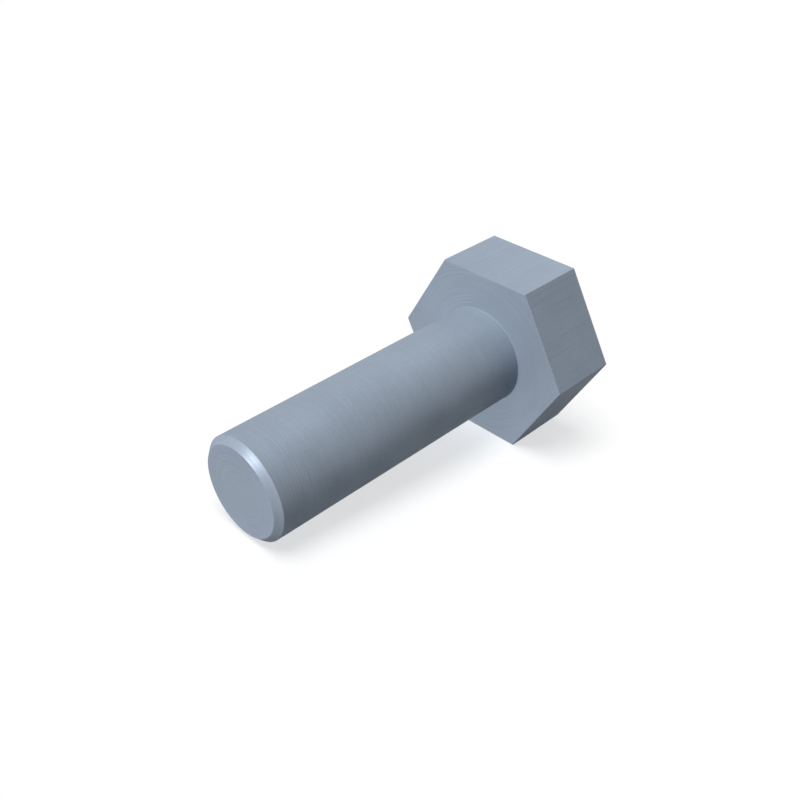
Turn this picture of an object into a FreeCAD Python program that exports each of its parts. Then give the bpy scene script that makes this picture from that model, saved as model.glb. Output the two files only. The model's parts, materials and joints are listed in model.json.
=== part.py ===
"""Hex head screw with a plain round shank, a quarter of an inch thick and three quarters long under the head.

Millimetres, +Z up. The screw lies as it comes to rest on a flat surface: on the lower edge of its bearing
face and on the rim of its point. The shank runs towards -X and the head lies at +X. The origin is on that
surface, below the middle of the screw.
"""

import FreeCAD, Part
import Sketcher

import math
import os

from FreeCAD import Placement, Rotation, Vector

PARTS_FOLDER = "parts"
SCREW = "hex_head_screw"
SIDES = 6
TOUCH = 1e-5
TILT_AXIS = Vector(0, -1, 0)
FIRST_TILT = 1  # degrees, replaced by the rest pose: with no angle at all the axis would be lost

# Driving dimensions in millimetres: alias, size and what it is.
DRIVING = [
    ("shankDiameter", 6.35, "1/4 inch"),
    ("shankLength", 19.05, "3/4 inch, from the bearing face to the point"),
    ("acrossFlats", 11.1125, "7/16 inch, between opposite flats of the head"),
    ("headHeight", 4.7625, "3/16 inch, from the bearing face to the end face"),
    ("pointChamfer", 0.381, "0.015 inch at 45 degrees, round the point"),
    ("edgeBreak", 0.05, "round on every edge of the head, where the burr is taken off"),
    ("noseRadius", 0.05, "round that the turning tool's nose leaves between shank and bearing face"),
]

# The rest pose, worked out from the driving dimensions: name, kind of property, formula.
# The head touches the surface below the centre of its edge round, and the shank at the rim of the chamfer.
# Reaches are measured along the surface, from the middle of the bearing face to either end of the screw.
NUMBER = "App::PropertyFloat"
ANGLE = "App::PropertyAngle"
REST = [
    ("headDrop", NUMBER, "(Sizes.acrossFlats - Sizes.shankDiameter) / 2 - Sizes.edgeBreak"),
    ("rimToRound", NUMBER, "Sizes.shankLength - Sizes.pointChamfer + Sizes.edgeBreak"),
    ("tilt", ANGLE, "atan(headDrop / rimToRound) + asin(Sizes.edgeBreak / hypot(headDrop; rimToRound))"),
    (
        "axisHeight",
        NUMBER,
        "(Sizes.shankLength - Sizes.pointChamfer) * sin(tilt) + Sizes.shankDiameter / 2 * cos(tilt)",
    ),
    (
        "pointReach",
        NUMBER,
        "Sizes.shankLength * cos(tilt) + (Sizes.shankDiameter / 2 - Sizes.pointChamfer) * sin(tilt)",
    ),
    (
        "headReach",
        NUMBER,
        "(Sizes.headHeight - Sizes.edgeBreak) * cos(tilt)"
        " + (Sizes.acrossFlats / 2 - Sizes.edgeBreak) * sin(tilt) + Sizes.edgeBreak",
    ),
]


def add_sizes(doc):
    """The spreadsheet of driving dimensions."""
    sheet = doc.addObject("Spreadsheet::Sheet", "Sizes")
    for row, (alias, size, note) in enumerate(DRIVING, start=1):
        sheet.set(f"A{row}", alias)
        sheet.set(f"B{row}", str(size))
        sheet.set(f"C{row}", note)
        sheet.setAlias(f"B{row}", alias)
    doc.recompute()
    return sheet


def add_rest(doc):
    """The tilt, height and reaches of the rest pose, as formulas over the spreadsheet."""
    rest = doc.addObject("App::VarSet", "Rest")
    for name, kind, formula in REST:
        rest.addProperty(kind, name, "Rest")
        rest.setExpression(name, formula)
        doc.recompute()
    return rest


def section_sketch(body, name):
    """A sketch across the screw, on the plane of the bearing face. Its normal points at the end face."""
    sketch = body.newObject("Sketcher::SketchObject", name)
    plane = next(item for item in body.Origin.OriginFeatures if item.Role == "YZ_Plane")
    sketch.AttachmentSupport = (plane, [""])
    sketch.MapMode = "FlatFace"
    return sketch


def size_constraint(sketch, name, constraint, formula):
    """Adds a named dimension to a sketch and binds it to the spreadsheet."""
    index = sketch.addConstraint(constraint)
    sketch.renameConstraint(index, name)
    sketch.setExpression(f"Constraints.{name}", formula)


def centred_circle(sketch, radius, construction=False):
    """A circle round the screw's axis."""
    circle = sketch.addGeometry(Part.Circle(Vector(), Vector(0, 0, 1), radius), construction)
    sketch.addConstraint(Sketcher.Constraint("Coincident", circle, 3, -1, 1))
    return circle


def draw_hexagon(sketch, across_flats):
    """A regular hexagon with its corners on a construction circle, one flat uppermost."""
    corner_radius = across_flats / 2 / math.cos(math.pi / SIDES)
    turns = [2 * math.pi * number / SIDES for number in range(SIDES)]
    corners = [Vector(corner_radius * math.cos(turn), corner_radius * math.sin(turn)) for turn in turns]
    corner_circle = centred_circle(sketch, corner_radius, construction=True)
    sides = [
        sketch.addGeometry(Part.LineSegment(corners[number], corners[(number + 1) % SIDES]))
        for number in range(SIDES)
    ]
    for number, side in enumerate(sides):
        following = sides[(number + 1) % SIDES]
        sketch.addConstraint(Sketcher.Constraint("Coincident", side, 2, following, 1))
        sketch.addConstraint(Sketcher.Constraint("PointOnObject", side, 1, corner_circle))
    for side in sides[1:]:
        sketch.addConstraint(Sketcher.Constraint("Equal", sides[0], side))
    upper, lower = sides[1], sides[4]
    sketch.addConstraint(Sketcher.Constraint("Horizontal", upper))
    height = Sketcher.Constraint("DistanceY", lower, 1, upper, 2, across_flats)
    size_constraint(sketch, "acrossFlats", height, "Sizes.acrossFlats")


def add_head(body, sizes):
    """The head: a length of hexagon bar, from the bearing face to the end face."""
    outline = section_sketch(body, "HeadOutline")
    draw_hexagon(outline, sizes.acrossFlats)
    head = body.newObject("PartDesign::Pad", "Head")
    head.Profile = outline
    head.setExpression("Length", "Sizes.headHeight")
    return head


def add_shank(body, sizes):
    """The shank: a plain cylinder, from the bearing face to the point."""
    outline = section_sketch(body, "ShankOutline")
    circle = centred_circle(outline, sizes.shankDiameter / 2)
    diameter = Sketcher.Constraint("Diameter", circle, sizes.shankDiameter)
    size_constraint(outline, "diameter", diameter, "Sizes.shankDiameter")
    shank = body.newObject("PartDesign::Pad", "Shank")
    shank.Profile = outline
    shank.Reversed = True
    shank.setExpression("Length", "Sizes.shankLength")
    return shank


def is_circle_at(edge, place):
    """Whether an edge is a circle round the axis, at that place along it."""
    return edge.Curve.TypeId == "Part::GeomCircle" and abs(edge.CenterOfMass.x - place) < TOUCH


def is_head_edge(edge, sizes):
    """Whether an edge is straight and lies outside the shank, as all eighteen of the head's edges do."""
    from_axis = math.hypot(edge.CenterOfMass.y, edge.CenterOfMass.z)
    return edge.Curve.TypeId == "Part::GeomLine" and from_axis > sizes.shankDiameter / 2 + TOUCH


def dress_edges(doc, body, kind, name, wanted, size_name, size_formula):
    """Rounds or chamfers each edge of the body so far that is wanted."""
    doc.recompute()
    base = body.Tip
    edges = [f"Edge{number}" for number, edge in enumerate(base.Shape.Edges, start=1) if wanted(edge)]
    feature = body.newObject(kind, name)
    feature.Base = (base, edges)
    feature.setExpression(size_name, size_formula)
    return feature


def finish_edges(doc, body, sizes):
    """The chamfered point, the small round under the head and the head's broken edges."""
    dress_edges(
        doc, body, "PartDesign::Chamfer", "Point",
        lambda edge: is_circle_at(edge, -sizes.shankLength), "Size", "Sizes.pointChamfer",
    )
    dress_edges(
        doc, body, "PartDesign::Fillet", "UnderHead",
        lambda edge: is_circle_at(edge, 0), "Radius", "Sizes.noseRadius",
    )
    dress_edges(
        doc, body, "PartDesign::Fillet", "BrokenEdges",
        lambda edge: is_head_edge(edge, sizes), "Radius", "Sizes.edgeBreak",
    )


def lay_down(body):
    """Lays the screw on the surface, with the origin below its middle."""
    body.Placement = Placement(Vector(), Rotation(TILT_AXIS, FIRST_TILT))
    body.setExpression("Placement.Rotation.Angle", "Rest.tilt")
    body.setExpression("Placement.Base.x", "(Rest.pointReach - Rest.headReach) / 2")
    body.setExpression("Placement.Base.z", "Rest.axisHeight")


def add_screw(doc, sizes):
    """The whole screw, turned and cut from one bar."""
    body = doc.addObject("PartDesign::Body", "Screw")
    body.Label = SCREW
    add_head(body, sizes)
    add_shank(body, sizes)
    finish_edges(doc, body, sizes)
    lay_down(body)
    return body


def check(doc, bodies):
    """Stops if anything in the document failed, or a body isn't one valid solid."""
    doc.recompute()
    failed = [item.Name for item in doc.Objects if {"Invalid", "Error"} & set(item.State)]
    if failed:
        raise RuntimeError(f"failed: {failed}")
    for body in bodies:
        if body.Shape.isNull() or not body.Shape.isValid() or len(body.Shape.Solids) != 1:
            raise RuntimeError(f"{body.Label} is not one valid solid")


def export(bodies):
    """Writes each body to a file under its own label."""
    os.makedirs(PARTS_FOLDER, exist_ok=True)
    for body in bodies:
        body.Shape.exportStep(os.path.join(PARTS_FOLDER, f"{body.Label}.step"))
        print(f"{body.Label}: {body.Shape.Volume:.1f} mm3, {len(body.Shape.Faces)} faces")


def main():
    doc = FreeCAD.newDocument("HexHeadScrew")
    sizes = add_sizes(doc)
    add_rest(doc)
    bodies = [add_screw(doc, sizes)]
    check(doc, bodies)
    export(bodies)


main()
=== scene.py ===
import json
import math

import bpy
from mathutils import Matrix, Vector


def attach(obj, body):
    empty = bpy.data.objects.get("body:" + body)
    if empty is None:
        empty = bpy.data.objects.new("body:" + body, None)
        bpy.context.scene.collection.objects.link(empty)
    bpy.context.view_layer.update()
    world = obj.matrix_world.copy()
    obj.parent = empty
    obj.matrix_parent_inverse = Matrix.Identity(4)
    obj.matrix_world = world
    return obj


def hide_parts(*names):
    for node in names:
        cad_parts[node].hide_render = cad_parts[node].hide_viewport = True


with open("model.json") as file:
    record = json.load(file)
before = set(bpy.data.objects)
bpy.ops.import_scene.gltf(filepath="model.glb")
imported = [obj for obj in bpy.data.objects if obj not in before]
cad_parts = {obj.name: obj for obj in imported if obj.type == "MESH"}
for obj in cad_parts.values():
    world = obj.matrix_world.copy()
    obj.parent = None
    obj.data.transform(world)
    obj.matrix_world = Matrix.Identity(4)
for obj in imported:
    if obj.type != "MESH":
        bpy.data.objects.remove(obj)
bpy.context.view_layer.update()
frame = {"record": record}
mounts = {mount["name"]: mount for mount in frame["record"]["mounts"]}
print("frame loaded")

mm = 0.001


# Building node trees

def plug(tree, value, socket):
    if isinstance(value, bpy.types.NodeSocket):
        tree.links.new(value, socket)
    else:
        socket.default_value = value


def addNode(tree, kind, inputs=None, **settings):
    node = tree.nodes.new(kind)
    for name, value in settings.items():
        setattr(node, name, value)
    for name, value in (inputs or {}).items():
        plug(tree, value, node.inputs[name])
    return node


def calc(tree, operation, *values):
    node = addNode(tree, "ShaderNodeMath", operation=operation)
    for value, socket in zip(values, node.inputs):
        plug(tree, value, socket)
    return node.outputs[0]


def plus(tree, first, second):
    return calc(tree, "ADD", first, second)


def minus(tree, first, second):
    return calc(tree, "SUBTRACT", first, second)


def times(tree, first, second):
    return calc(tree, "MULTIPLY", first, second)


def over(tree, first, second):
    return calc(tree, "DIVIDE", first, second)


def addUp(tree, *terms):
    # Terms are pairs of a factor and a value.
    total = 0.0
    for factor, value in terms:
        total = calc(tree, "MULTIPLY_ADD", value, factor, total)
    return total


def limit(tree, value):
    # No less than 0 and no more than 1.
    return addNode(tree, "ShaderNodeClamp", {"Value": value}).outputs[0]


def between(tree, value, fromLow, fromHigh, toLow, toHigh):
    inputs = {"Value": value, "From Min": fromLow, "From Max": fromHigh, "To Min": toLow, "To Max": toHigh}
    return addNode(tree, "ShaderNodeMapRange", inputs, clamp=False).outputs[0]


def xyz(tree, x, y, z):
    return addNode(tree, "ShaderNodeCombineXYZ", {"X": x, "Y": y, "Z": z}).outputs[0]


def splitXyz(tree, vector):
    return addNode(tree, "ShaderNodeSeparateXYZ", {0: vector}).outputs


def vectorSum(tree, *vectors):
    total = vectors[0]
    for vector in vectors[1:]:
        total = addNode(tree, "ShaderNodeVectorMath", {0: total, 1: vector}, operation="ADD").outputs[0]
    return total


def scaled(tree, vector, factor):
    return addNode(tree, "ShaderNodeVectorMath", {0: vector, "Scale": factor}, operation="SCALE").outputs[0]


def apart(tree, first, second):
    node = addNode(tree, "ShaderNodeVectorMath", {0: first, 1: second}, operation="DISTANCE")
    return node.outputs["Value"]


def newTree(name, kind, inputs, outputs):
    tree = bpy.data.node_groups.new(name, kind)
    for label, socketType in inputs:
        tree.interface.new_socket(label, in_out="INPUT", socket_type="NodeSocket" + socketType)
    for label, socketType in outputs:
        tree.interface.new_socket(label, in_out="OUTPUT", socket_type="NodeSocket" + socketType)
    given = tree.nodes.new("NodeGroupInput").outputs
    result = tree.nodes.new("NodeGroupOutput").inputs
    return tree, given, result


# The screw, in its own axes: +X from the middle of the bearing face through the head, -X along the shank,
# +Z out of the uppermost flat.

sides = 6  # of the head
screw = {
    "acrossFlats": 11.1125 * mm,
    "headHeight": 4.7625 * mm,
    "shankRadius": mounts["shank"]["dims"]["r_mm"] * mm,
    "shankLength": 19.05 * mm,
    "pointChamfer": 0.381 * mm,
    "edgeBreak": 0.05 * mm,
    "noseRadius": 0.05 * mm,
    "chamferEase": 0.03 * mm,  # where the chamfer meets the shank and the point
    "margin": 0.02 * mm,  # the last row of faces beside a round, which keeps a flat face flat to look at
    "weld": 0.002 * mm,  # points closer together than this become one
    "around": 192,  # points round the screw
    "cornerSteps": 5,  # steps round each corner of the hexagon
}
chamferSlope = math.radians(45)
# Rows of faces along each stretch, from the point to the end face, and across each rounded edge.
rows = {"point": 6, "chamfer": 6, "shank": 24, "bearingFace": 8, "flats": 10, "endFace": 8, "edge": 4}
finishes = ("turned", "faced", "drawn", "easedPaintedShade")  # each has a material of its own


def screwPose():
    toHead = Vector(mounts["spanner_flats"]["axis"]).normalized()
    shankMiddle = Vector(mounts["shank"]["pos_m"])
    onFace = Vector(mounts["bearing_face"]["pos_m"])
    seat = shankMiddle + toHead * (onFace - shankMiddle).dot(toHead)
    side = Vector((0, 1, 0))
    turn = Matrix((toHead, side, toHead.cross(side))).transposed().to_4x4()
    return Matrix.Translation(seat) @ turn


pose = screwPose()


# The screw's surface is a row of bands. A point of its profile has three numbers: its place along the axis,
# the radius of a round outline, and the distance of the flats of a hexagon. One of the last two is 0, apart
# from the bearing face, which runs from the one to the other.

def outward(tree, angle):
    return xyz(tree, 0.0, calc(tree, "COSINE", angle), calc(tree, "SINE", angle))


def bandProfile(tree, given, row):
    # A conic from start to end that leans on the corner: an arc at the right lean, a straight line at 1.
    lastRow = minus(tree, given["Rows"], 1.0)
    share = limit(tree, between(tree, row, 1.0, lastRow, given["First Row"], given["Last Row"]))
    rest = minus(tree, 1.0, share)
    startWeight = times(tree, rest, rest)
    endWeight = times(tree, share, share)
    lean = times(tree, times(tree, share, rest), given["Lean"])
    cornerWeight = times(tree, lean, 2.0)
    weights = plus(tree, plus(tree, startWeight, endWeight), cornerWeight)
    weighed = vectorSum(
        tree,
        scaled(tree, given["Start"], startWeight),
        scaled(tree, given["End"], endWeight),
        scaled(tree, given["Corner"], cornerWeight),
    )
    return scaled(tree, weighed, over(tree, 1.0, weights))


def goRound(tree, given, column):
    # Each sixth of the way round holds one corner's arc and the flat after it. Gives the centre of the arc,
    # the angle on the arc, and the angle that the same point has on a round outline.
    sixth = math.tau / sides
    perSide = over(tree, given["Around"], float(sides))
    side = calc(tree, "FLOOR", over(tree, plus(tree, column, 0.5), perSide))
    step = minus(tree, column, times(tree, side, perSide))
    cornerAngle = times(tree, side, sixth)
    firstOnFlat = plus(tree, given["Corner Steps"], 1.0)
    lastOnFlat = minus(tree, perSide, 1.0)
    margin = given["Side Margin"]
    slid = limit(tree, between(tree, step, firstOnFlat, lastOnFlat, margin, minus(tree, 1.0, margin)))
    here = scaled(tree, outward(tree, cornerAngle), minus(tree, 1.0, slid))
    following = scaled(tree, outward(tree, plus(tree, cornerAngle, sixth)), slid)
    centreReach = over(tree, given["Arc Centres"], math.cos(sixth / 2))
    arcCentre = scaled(tree, vectorSum(tree, here, following), centreReach)
    turned = limit(tree, over(tree, step, given["Corner Steps"]))
    arcAngle = plus(tree, cornerAngle, between(tree, turned, 0.0, 1.0, -sixth / 2, sixth / 2))
    fromMiddle = minus(tree, step, times(tree, given["Corner Steps"], 0.5))
    roundAngle = calc(tree, "MULTIPLY_ADD", over(tree, fromMiddle, perSide), sixth, cornerAngle)
    return arcCentre, arcAngle, roundAngle


def buildBandTree():
    tree, given, result = newTree(
        "screwBand",
        "GeometryNodeTree",
        [
            ("Around", "Int"), ("Corner Steps", "Int"), ("Rows", "Int"), ("Start", "Vector"),
            ("Corner", "Vector"), ("End", "Vector"), ("Lean", "Float"), ("First Row", "Float"),
            ("Last Row", "Float"), ("Side Margin", "Float"), ("Arc Centres", "Float"), ("Finish", "Int"),
        ],
        [("Band", "Geometry")],
    )
    columns = plus(tree, given["Around"], 1.0)
    inputs = {"Vertices X": plus(tree, given["Rows"], 1.0), "Vertices Y": columns}
    grid = addNode(tree, "GeometryNodeMeshGrid", inputs).outputs["Mesh"]
    index = addNode(tree, "GeometryNodeInputIndex").outputs[0]
    # A half is added before rounding down, so that a point never falls into the row before its own.
    row = calc(tree, "FLOOR", over(tree, plus(tree, index, 0.5), columns))
    column = minus(tree, index, times(tree, row, columns))
    arcCentre, arcAngle, roundAngle = goRound(tree, given, column)

    along, roundReach, flatReach = splitXyz(tree, bandProfile(tree, given, row))
    centreShare = calc(tree, "MINIMUM", over(tree, flatReach, given["Arc Centres"]), 1.0)
    arcRadius = calc(tree, "MAXIMUM", minus(tree, flatReach, given["Arc Centres"]), 0.0)
    place = vectorSum(
        tree,
        xyz(tree, along, 0.0, 0.0),
        scaled(tree, arcCentre, centreShare),
        scaled(tree, outward(tree, arcAngle), arcRadius),
        scaled(tree, outward(tree, roundAngle), roundReach),
    )
    moved = addNode(tree, "GeometryNodeSetPosition", {"Geometry": grid, "Position": place})
    inputs = {"Geometry": moved.outputs[0], "Name": "finish", "Value": given["Finish"]}
    stored = addNode(tree, "GeometryNodeStoreNamedAttribute", inputs, data_type="INT", domain="FACE")
    plug(tree, stored.outputs[0], result["Band"])
    return tree


def buildProfile(tree, given, flat, arcCentres):
    # A rounded edge has three points: its start, the sharp corner that it takes off, and its end.
    shank, length, head = given["Shank Radius"], given["Shank Length"], given["Head Height"]
    chamfer, edge, nose = given["Point Chamfer"], given["Edge Break"], given["Nose Radius"]
    easeRun = times(tree, given["Chamfer Ease"], math.tan(chamferSlope / 2))
    easeRise = times(tree, easeRun, math.cos(chamferSlope))
    tip = times(tree, length, -1.0)
    rim = minus(tree, chamfer, length)
    pointRadius = minus(tree, shank, chamfer)

    def point(along, roundReach, flatReach):
        return xyz(tree, along, roundReach, flatReach)

    return {
        "pointMiddle": point(tip, 0.0, 0.0),
        "pointEdge": (
            point(tip, minus(tree, pointRadius, easeRun), 0.0),
            point(tip, pointRadius, 0.0),
            point(plus(tree, tip, easeRise), plus(tree, pointRadius, easeRise), 0.0),
        ),
        "rimEdge": (
            point(minus(tree, rim, easeRise), minus(tree, shank, easeRise), 0.0),
            point(rim, shank, 0.0),
            point(plus(tree, rim, easeRun), shank, 0.0),
        ),
        "underHead": (
            point(times(tree, nose, -1.0), shank, 0.0),
            point(0.0, shank, 0.0),
            point(0.0, plus(tree, shank, nose), 0.0),
        ),
        "bearingEdge": (
            point(0.0, 0.0, arcCentres),
            point(0.0, 0.0, flat),
            point(edge, 0.0, flat),
        ),
        "endEdge": (
            point(minus(tree, head, edge), 0.0, flat),
            point(head, 0.0, flat),
            point(head, 0.0, arcCentres),
        ),
        "headMiddle": point(head, 0.0, 0.0),
    }


def giveMaterials(tree, shape, materials):
    finish = addNode(tree, "GeometryNodeInputNamedAttribute", {"Name": "finish"}, data_type="INT").outputs[0]
    for number, name in enumerate(finishes):
        inputs = {2: finish, 3: number}
        chosen = addNode(tree, "FunctionNodeCompare", inputs, data_type="INT", operation="EQUAL").outputs[0]
        inputs = {"Geometry": shape, "Selection": chosen, "Material": materials[name]}
        shape = addNode(tree, "GeometryNodeSetMaterial", inputs).outputs[0]
    return shape


def buildScrewTree(bandTree, materials):
    tree, given, result = newTree(
        "hexHeadScrew",
        "GeometryNodeTree",
        [
            ("Geometry", "Geometry"), ("Across Flats", "Float"), ("Head Height", "Float"),
            ("Shank Radius", "Float"), ("Shank Length", "Float"), ("Point Chamfer", "Float"),
            ("Edge Break", "Float"), ("Nose Radius", "Float"), ("Chamfer Ease", "Float"),
            ("Margin", "Float"), ("Weld", "Float"), ("Around", "Int"), ("Corner Steps", "Int"),
        ],
        [("Geometry", "Geometry")],
    )
    flat = times(tree, given["Across Flats"], 0.5)
    arcCentres = minus(tree, flat, given["Edge Break"])
    sideLength = times(tree, arcCentres, 2 * math.tan(math.pi / sides))
    sideMargin = over(tree, given["Margin"], sideLength)
    profile = buildProfile(tree, given, flat, arcCentres)
    joined = addNode(tree, "GeometryNodeJoinGeometry")

    def addBand(points, lean, count, firstRow, lastRow, finish):
        start, corner, end = points
        inputs = {
            "Around": given["Around"], "Corner Steps": given["Corner Steps"], "Rows": count, "Start": start,
            "Corner": corner, "End": end, "Lean": lean, "First Row": firstRow, "Last Row": lastRow,
            "Side Margin": sideMargin, "Arc Centres": arcCentres, "Finish": finishes.index(finish),
        }
        band = addNode(tree, "GeometryNodeGroup", inputs, node_tree=bandTree)
        tree.links.new(band.outputs[0], joined.inputs[0])

    def straightBand(start, end, stretch, finish):
        count = rows[stretch]
        middle = scaled(tree, vectorSum(tree, start, end), 0.5)
        margin = over(tree, given["Margin"], apart(tree, start, end))
        # The first and the last row keep close to the rounds beside them. The axis has no round.
        firstRow = 1 / count if start is profile["pointMiddle"] else margin
        lastRow = 1 - 1 / count if end is profile["headMiddle"] else minus(tree, 1.0, margin)
        addBand((start, middle, end), 1.0, count, firstRow, lastRow, finish)

    def edgeBand(points, angle, finish):
        # The curve is an arc where the lean is the cosine of half the angle that it turns through.
        step = 1 / rows["edge"]
        addBand(points, math.cos(angle / 2), rows["edge"], step, 1 - step, finish)

    pointEdge, rimEdge, underHead = profile["pointEdge"], profile["rimEdge"], profile["underHead"]
    bearingEdge, endEdge = profile["bearingEdge"], profile["endEdge"]
    square = math.radians(90)
    straightBand(profile["pointMiddle"], pointEdge[0], "point", "faced")
    edgeBand(pointEdge, chamferSlope, "turned")
    straightBand(pointEdge[2], rimEdge[0], "chamfer", "turned")
    edgeBand(rimEdge, chamferSlope, "turned")
    straightBand(rimEdge[2], underHead[0], "shank", "turned")
    edgeBand(underHead, square, "easedPaintedShade")
    straightBand(underHead[2], bearingEdge[0], "bearingFace", "faced")
    edgeBand(bearingEdge, square, "easedPaintedShade")
    straightBand(bearingEdge[2], endEdge[0], "flats", "drawn")
    edgeBand(endEdge, square, "easedPaintedShade")
    straightBand(endEdge[2], profile["headMiddle"], "endFace", "faced")

    inputs = {"Geometry": joined.outputs[0], "Distance": given["Weld"]}
    closed = addNode(tree, "GeometryNodeMergeByDistance", inputs)
    flipped = addNode(tree, "GeometryNodeFlipFaces", {"Mesh": closed.outputs[0]})
    smooth = addNode(tree, "GeometryNodeSetShadeSmooth", {"Geometry": flipped.outputs[0]})
    realized = addNode(tree, "GeometryNodeRealizeInstances", {"Geometry": smooth.outputs[0]})
    plug(tree, giveMaterials(tree, realized.outputs[0], materials), result["Geometry"])
    return tree


def makeScrew(materials):
    host = bpy.data.objects.new("screwHost", bpy.data.meshes.new("screwHost"))
    bpy.context.scene.collection.objects.link(host)
    tree = buildScrewTree(buildBandTree(), materials)
    modifier = host.modifiers.new("screw", "NODES")
    modifier.node_group = tree
    values = {
        "Across Flats": screw["acrossFlats"], "Head Height": screw["headHeight"],
        "Shank Radius": screw["shankRadius"], "Shank Length": screw["shankLength"],
        "Point Chamfer": screw["pointChamfer"], "Edge Break": screw["edgeBreak"],
        "Nose Radius": screw["noseRadius"], "Chamfer Ease": screw["chamferEase"],
        "Margin": screw["margin"], "Weld": screw["weld"],
        "Around": screw["around"], "Corner Steps": screw["cornerSteps"],
    }
    sockets = {item.name: item.identifier for item in tree.interface.items_tree if item.in_out == "INPUT"}
    for name, value in values.items():
        modifier[sockets[name]] = value
    host.update_tag()
    bpy.context.view_layer.update()
    depsgraph = bpy.context.evaluated_depsgraph_get()
    mesh = bpy.data.meshes.new_from_object(host.evaluated_get(depsgraph), depsgraph=depsgraph)
    host.modifiers.remove(modifier)
    bpy.data.objects.remove(host)
    mesh.materials.pop(index=0)  # the empty slot that the grids bring with them
    mesh.transform(pose)
    mesh.name = "hexHeadScrew"
    piece = bpy.data.objects.new("hexHeadScrew", mesh)
    bpy.context.scene.collection.objects.link(piece)
    return piece


# Materials. Their patterns are drawn in the screw's own axes, in millimetres.

steel = {
    "colour": (0.289, 0.343, 0.417, 1.0),
    "metallic": 0.25,  # the rest is a thin dull skin
    "skinGloss": 0.0,  # the skin itself doesn't shine
    "roughness": 0.45,
    "depth": 0.005,  # how deep a mark of strength 1 is cut, in millimetres
}
# What each tool leaves: the pitch and strength of its feed marks, the strength of the finer lines and how
# many there are to the millimetre along the screw (on the faced ends: outwards), sideways and up, how much
# rougher than the rest the steel is, and the share of its colour that is left. Where that share is below 1,
# it is painted shade: the rounded edges are painted darker to dim the highlight that the lamps put on them.
marks = {
    "turned": {
        "pitch": 0.2, "feed": 0.7, "lines": 0.5, "fineness": (7.0, 0.25, 0.25),
        "rougher": 0.0, "shade": 1.0,
    },
    "faced": {
        "pitch": 0.22, "feed": 0.8, "lines": 0.5, "fineness": (6.0, 0.2, 0.2),
        "rougher": 0.0, "shade": 1.0,
    },
    "drawn": {
        "pitch": 1.0, "feed": 0.0, "lines": 0.7, "fineness": (0.15, 7.0, 7.0),
        "rougher": 0.0, "shade": 1.0,
    },
    # The rounded edges: painted shade keeps 0.92 of the steel's colour, to dim the lamps' highlight on them.
    "easedPaintedShade": {
        "pitch": 1.0, "feed": 0.0, "lines": 0.5, "fineness": (6.0, 6.0, 6.0),
        "rougher": 0.3, "shade": 0.92,
    },
}
# How fine the clouds and the grain of the skin are, to the millimetre, and how far they and the tool's lines
# sway the steel.
skin = {
    "clouds": {"scale": 0.35, "detail": 3.0},
    "grain": {"scale": 9.0, "detail": 2.0},
    "lines": {"scale": 1.0, "detail": 3.0},  # their fineness is in the marks
    "colour": {"lines": 0.04, "clouds": 0.03, "grain": 0.04},
    "metallic": {"clouds": 0.05},
    "roughness": {"lines": 0.03, "clouds": 0.03, "grain": 0.03},
}


def newMaterial(name):
    material = bpy.data.materials.new(name)
    material.use_nodes = True
    tree = material.node_tree
    tree.nodes.clear()
    shader = addNode(tree, "ShaderNodeBsdfPrincipled")
    output = addNode(tree, "ShaderNodeOutputMaterial")
    tree.links.new(shader.outputs[0], output.inputs["Surface"])
    return material, tree, shader


def mixColours(tree, share, first, second):
    node = addNode(tree, "ShaderNodeMix", data_type="RGBA")
    colourInputs = [socket for socket in node.inputs if socket.type == "RGBA"]
    plug(tree, share, node.inputs[0])
    plug(tree, first, colourInputs[0])
    plug(tree, second, colourInputs[1])
    return next(socket for socket in node.outputs if socket.type == "RGBA")


def swing(tree, vector, scale, detail):
    # Noise from about -1 to 1: it seldom strays more than a quarter from its middle, a half.
    inputs = {"Vector": vector, "Scale": scale, "Detail": detail}
    noise = addNode(tree, "ShaderNodeTexNoise", inputs, noise_dimensions="3D").outputs[0]
    return between(tree, noise, 0.25, 0.75, -1.0, 1.0)


def buildAxesTree():
    tree, _, result = newTree(
        "screwAxes",
        "ShaderNodeTree",
        [],
        [("Place", "Vector"), ("Along", "Float"), ("Reach", "Float"), ("Turn", "Float")],
    )
    inputs = {
        "Vector": addNode(tree, "ShaderNodeTexCoord").outputs["Object"], "Location": pose.translation,
        "Rotation": pose.to_euler(), "Scale": (mm, mm, mm),
    }
    place = addNode(tree, "ShaderNodeMapping", inputs, vector_type="TEXTURE").outputs[0]
    along, across, up = splitXyz(tree, place)
    reach = calc(tree, "SQRT", plus(tree, times(tree, across, across), times(tree, up, up)))
    turn = over(tree, calc(tree, "ARCTAN2", up, across), math.tau)
    for name, value in {"Place": place, "Along": along, "Reach": reach, "Turn": turn}.items():
        plug(tree, value, result[name])
    return tree


def buildMarksTree():
    # The groove that a tool leaves at each turn, and the finer lines beside it.
    tree, given, result = newTree(
        "toolMarks",
        "ShaderNodeTree",
        [
            ("Place", "Vector"), ("Across", "Float"), ("Turn", "Float"), ("Pitch", "Float"),
            ("Feed", "Float"), ("Lines", "Float"), ("Fineness", "Vector"),
        ],
        [("Height", "Float"), ("Tone", "Float")],
    )
    grooves = plus(tree, over(tree, given["Across"], given["Pitch"]), given["Turn"])
    fromMiddle = between(tree, calc(tree, "FRACT", grooves), 0.0, 1.0, -1.0, 1.0)
    groove = times(tree, fromMiddle, fromMiddle)
    inputs = {0: given["Place"], 1: given["Fineness"]}
    fine = addNode(tree, "ShaderNodeVectorMath", inputs, operation="MULTIPLY").outputs[0]
    lines = swing(tree, fine, **skin["lines"])
    plug(tree, addUp(tree, (given["Feed"], groove), (given["Lines"], lines)), result["Height"])
    plug(tree, lines, result["Tone"])
    return tree


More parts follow.
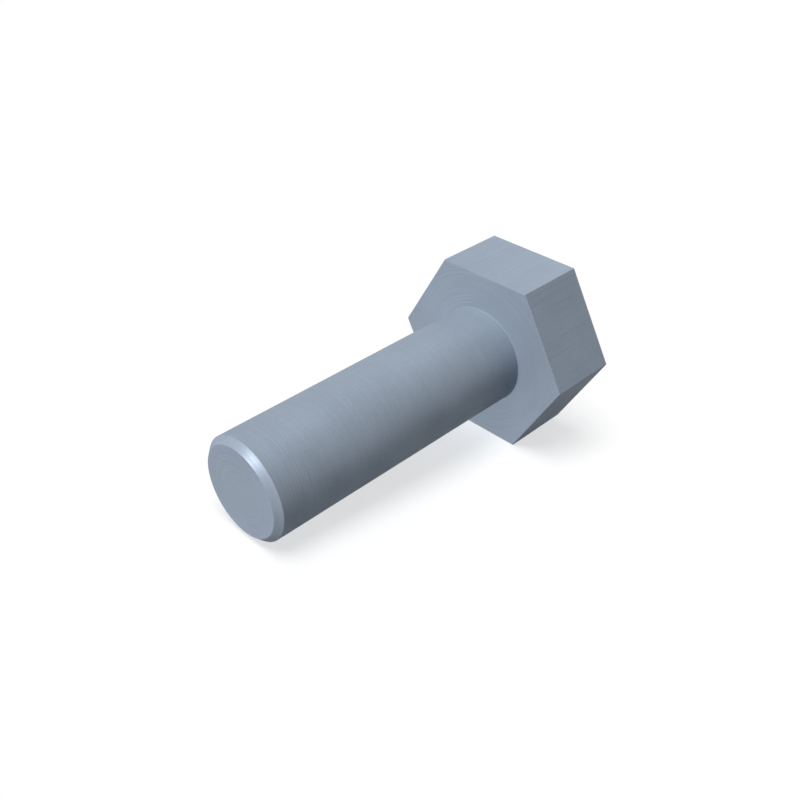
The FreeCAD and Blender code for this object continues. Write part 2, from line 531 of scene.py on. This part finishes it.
def buildSkinTree():
    # The slow and the fine unevenness of a dull steel skin.
    tree, given, result = newTree(
        "steelSkin",
        "ShaderNodeTree",
        [
            ("Place", "Vector"), ("Tone", "Float"), ("Colour", "Color"), ("Metallic", "Float"),
            ("Roughness", "Float"),
        ],
        [("Colour", "Color"), ("Metallic", "Float"), ("Roughness", "Float")],
    )
    waves = {
        "lines": given["Tone"],
        "clouds": swing(tree, given["Place"], **skin["clouds"]),
        "grain": swing(tree, given["Place"], **skin["grain"]),
    }

    def swayed(middle, shares):
        return addUp(tree, (1.0, middle), *((share, waves[name]) for name, share in shares.items()))

    plug(tree, scaled(tree, given["Colour"], swayed(1.0, skin["colour"])), result["Colour"])
    plug(tree, swayed(given["Metallic"], skin["metallic"]), result["Metallic"])
    plug(tree, swayed(given["Roughness"], skin["roughness"]), result["Roughness"])
    return tree


axesTree = buildAxesTree()
marksTree = buildMarksTree()
skinTree = buildSkinTree()


def makeSteel(name):
    cut = marks[name]
    material, tree, shader = newMaterial(name + "Steel")
    axes = addNode(tree, "ShaderNodeGroup", node_tree=axesTree).outputs
    place = axes["Place"]
    across = axes["Along"]
    if name == "faced":
        across = axes["Reach"]
        _, sideways, up = splitXyz(tree, place)
        place = xyz(tree, across, sideways, up)
    inputs = {
        "Place": place, "Across": across, "Turn": axes["Turn"], "Pitch": cut["pitch"], "Feed": cut["feed"],
        "Lines": cut["lines"], "Fineness": cut["fineness"],
    }
    toolMarks = addNode(tree, "ShaderNodeGroup", inputs, node_tree=marksTree).outputs
    inputs = {
        "Place": axes["Place"], "Tone": toolMarks["Tone"],
        # A share below 1 darkens the colour as painted shade.
        "Colour": [part * cut["shade"] for part in steel["colour"][:3]] + [1.0],
        "Metallic": steel["metallic"], "Roughness": steel["roughness"] + cut["rougher"],
    }
    surface = addNode(tree, "ShaderNodeGroup", inputs, node_tree=skinTree).outputs
    inputs = {"Height": toolMarks["Height"], "Distance": steel["depth"] * mm, "Strength": 1.0}
    bump = addNode(tree, "ShaderNodeBump", inputs)
    plug(tree, surface["Colour"], shader.inputs["Base Color"])
    plug(tree, surface["Metallic"], shader.inputs["Metallic"])
    plug(tree, surface["Roughness"], shader.inputs["Roughness"])
    plug(tree, bump.outputs[0], shader.inputs["Normal"])
    shader.inputs["Specular IOR Level"].default_value = steel["skinGloss"]
    return material


materials = {name: makeSteel(name) for name in finishes}
print("materials made")

piece = makeScrew(materials)
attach(piece, "root")
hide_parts("hex_head_screw")
print("screw made:", len(piece.data.vertices), "points,", len(piece.data.polygons), "faces")


# The studio

studio = {
    "floorHalf": 3.0,  # half the floor's width, in metres
    "white": (1.0, 1.0, 1.0, 1.0),  # what the camera and reflections see of the floor and the sky
    "floorBounce": (0.15, 0.15, 0.15, 1.0),  # what soft light sees of the floor
    "softSky": (0.07, 0.07, 0.07, 1.0),  # and of the sky
}
# Round lights far away: height and bearing in degrees, the share of the floor's light that each gives, how
# wide it looks from the screw in degrees, and whether it casts a shadow: only the top one does.
lamps = {
    "front": {"height": 34, "bearing": 174, "share": 0.56, "width": 16, "shadow": False},
    "top": {"height": 72, "bearing": 190, "share": 0.3, "width": 36, "shadow": True},
    "back": {"height": 25, "bearing": 20, "share": 0.08, "width": 36, "shadow": False},
}


def isSeen(tree):
    # 1 for rays from the camera, off a glossy surface or through glass, and 0 for soft light.
    rays = addNode(tree, "ShaderNodeLightPath").outputs
    reflected = calc(tree, "MAXIMUM", rays["Is Glossy Ray"], rays["Is Transmission Ray"])
    return calc(tree, "MAXIMUM", rays["Is Camera Ray"], reflected)


def makeFloor():
    half = studio["floorHalf"]
    corners = [(-half, -half, 0), (half, -half, 0), (half, half, 0), (-half, half, 0)]
    mesh = bpy.data.meshes.new("floor")
    mesh.from_pydata(corners, [], [(0, 1, 2, 3)])
    floor = bpy.data.objects.new("floor", mesh)
    bpy.context.scene.collection.objects.link(floor)
    material, tree, shader = newMaterial("paleFloor")
    colour = mixColours(tree, isSeen(tree), studio["floorBounce"], studio["white"])
    plug(tree, colour, shader.inputs["Base Color"])
    shader.inputs["Roughness"].default_value = 1.0
    shader.inputs["Specular IOR Level"].default_value = 0.0
    mesh.materials.append(material)
    return floor


def makeLamp(name, height, bearing, share, width, shadow):
    lamp = bpy.data.lights.new(name, "SUN")
    lamp.angle = math.radians(width)
    lamp.use_shadow = shadow
    rise = math.sin(math.radians(height))
    flat = math.cos(math.radians(height))
    turn = math.radians(bearing)
    lamp.energy = share * math.pi / rise  # pi from straight overhead lights a white floor to 1
    holder = bpy.data.objects.new(name, lamp)
    bpy.context.scene.collection.objects.link(holder)
    towards = Vector((flat * math.cos(turn), flat * math.sin(turn), rise))
    holder.rotation_euler = towards.to_track_quat("Z", "Y").to_euler()


def makeWorld():
    world = bpy.data.worlds.new("studio")
    bpy.context.scene.world = world
    world.use_nodes = True
    tree = world.node_tree
    colour = mixColours(tree, isSeen(tree), studio["softSky"], studio["white"])
    plug(tree, colour, tree.nodes["Background"].inputs["Color"])


makeFloor()
makeWorld()
for name, lamp in lamps.items():
    makeLamp(name, **lamp)
print("studio made")


# The camera looks at the middle of the screw along the diagonal of the screw's own axes, from the point's
# side.

camera = {
    "lens": 44.923,
    "sensor": 36.0,
    "from": Vector((-1, -1, 1)),
    "distance": 59.39 * mm,
    "nearest": 1 * mm,  # what lies nearer than this or further than the next isn't drawn
    "furthest": 10.0,
}


def makeCamera():
    lens = bpy.data.cameras.new("camera")
    lens.lens = camera["lens"]
    lens.sensor_width = camera["sensor"]
    lens.clip_start = camera["nearest"]
    lens.clip_end = camera["furthest"]
    holder = bpy.data.objects.new("camera", lens)
    bpy.context.scene.collection.objects.link(holder)
    turn = pose.to_3x3()
    middle = pose @ Vector(((screw["headHeight"] - screw["shankLength"]) / 2, 0, 0))
    back = (turn @ camera["from"]).normalized()
    right = (turn @ Vector((0, 0, 1))).cross(back).normalized()
    axes = Matrix((right, back.cross(right), back)).transposed().to_4x4()
    holder.matrix_world = Matrix.Translation(middle + back * camera["distance"]) @ axes
    bpy.context.scene.camera = holder


makeCamera()
bpy.context.scene.view_settings.view_transform = "Standard"
print("camera placed")
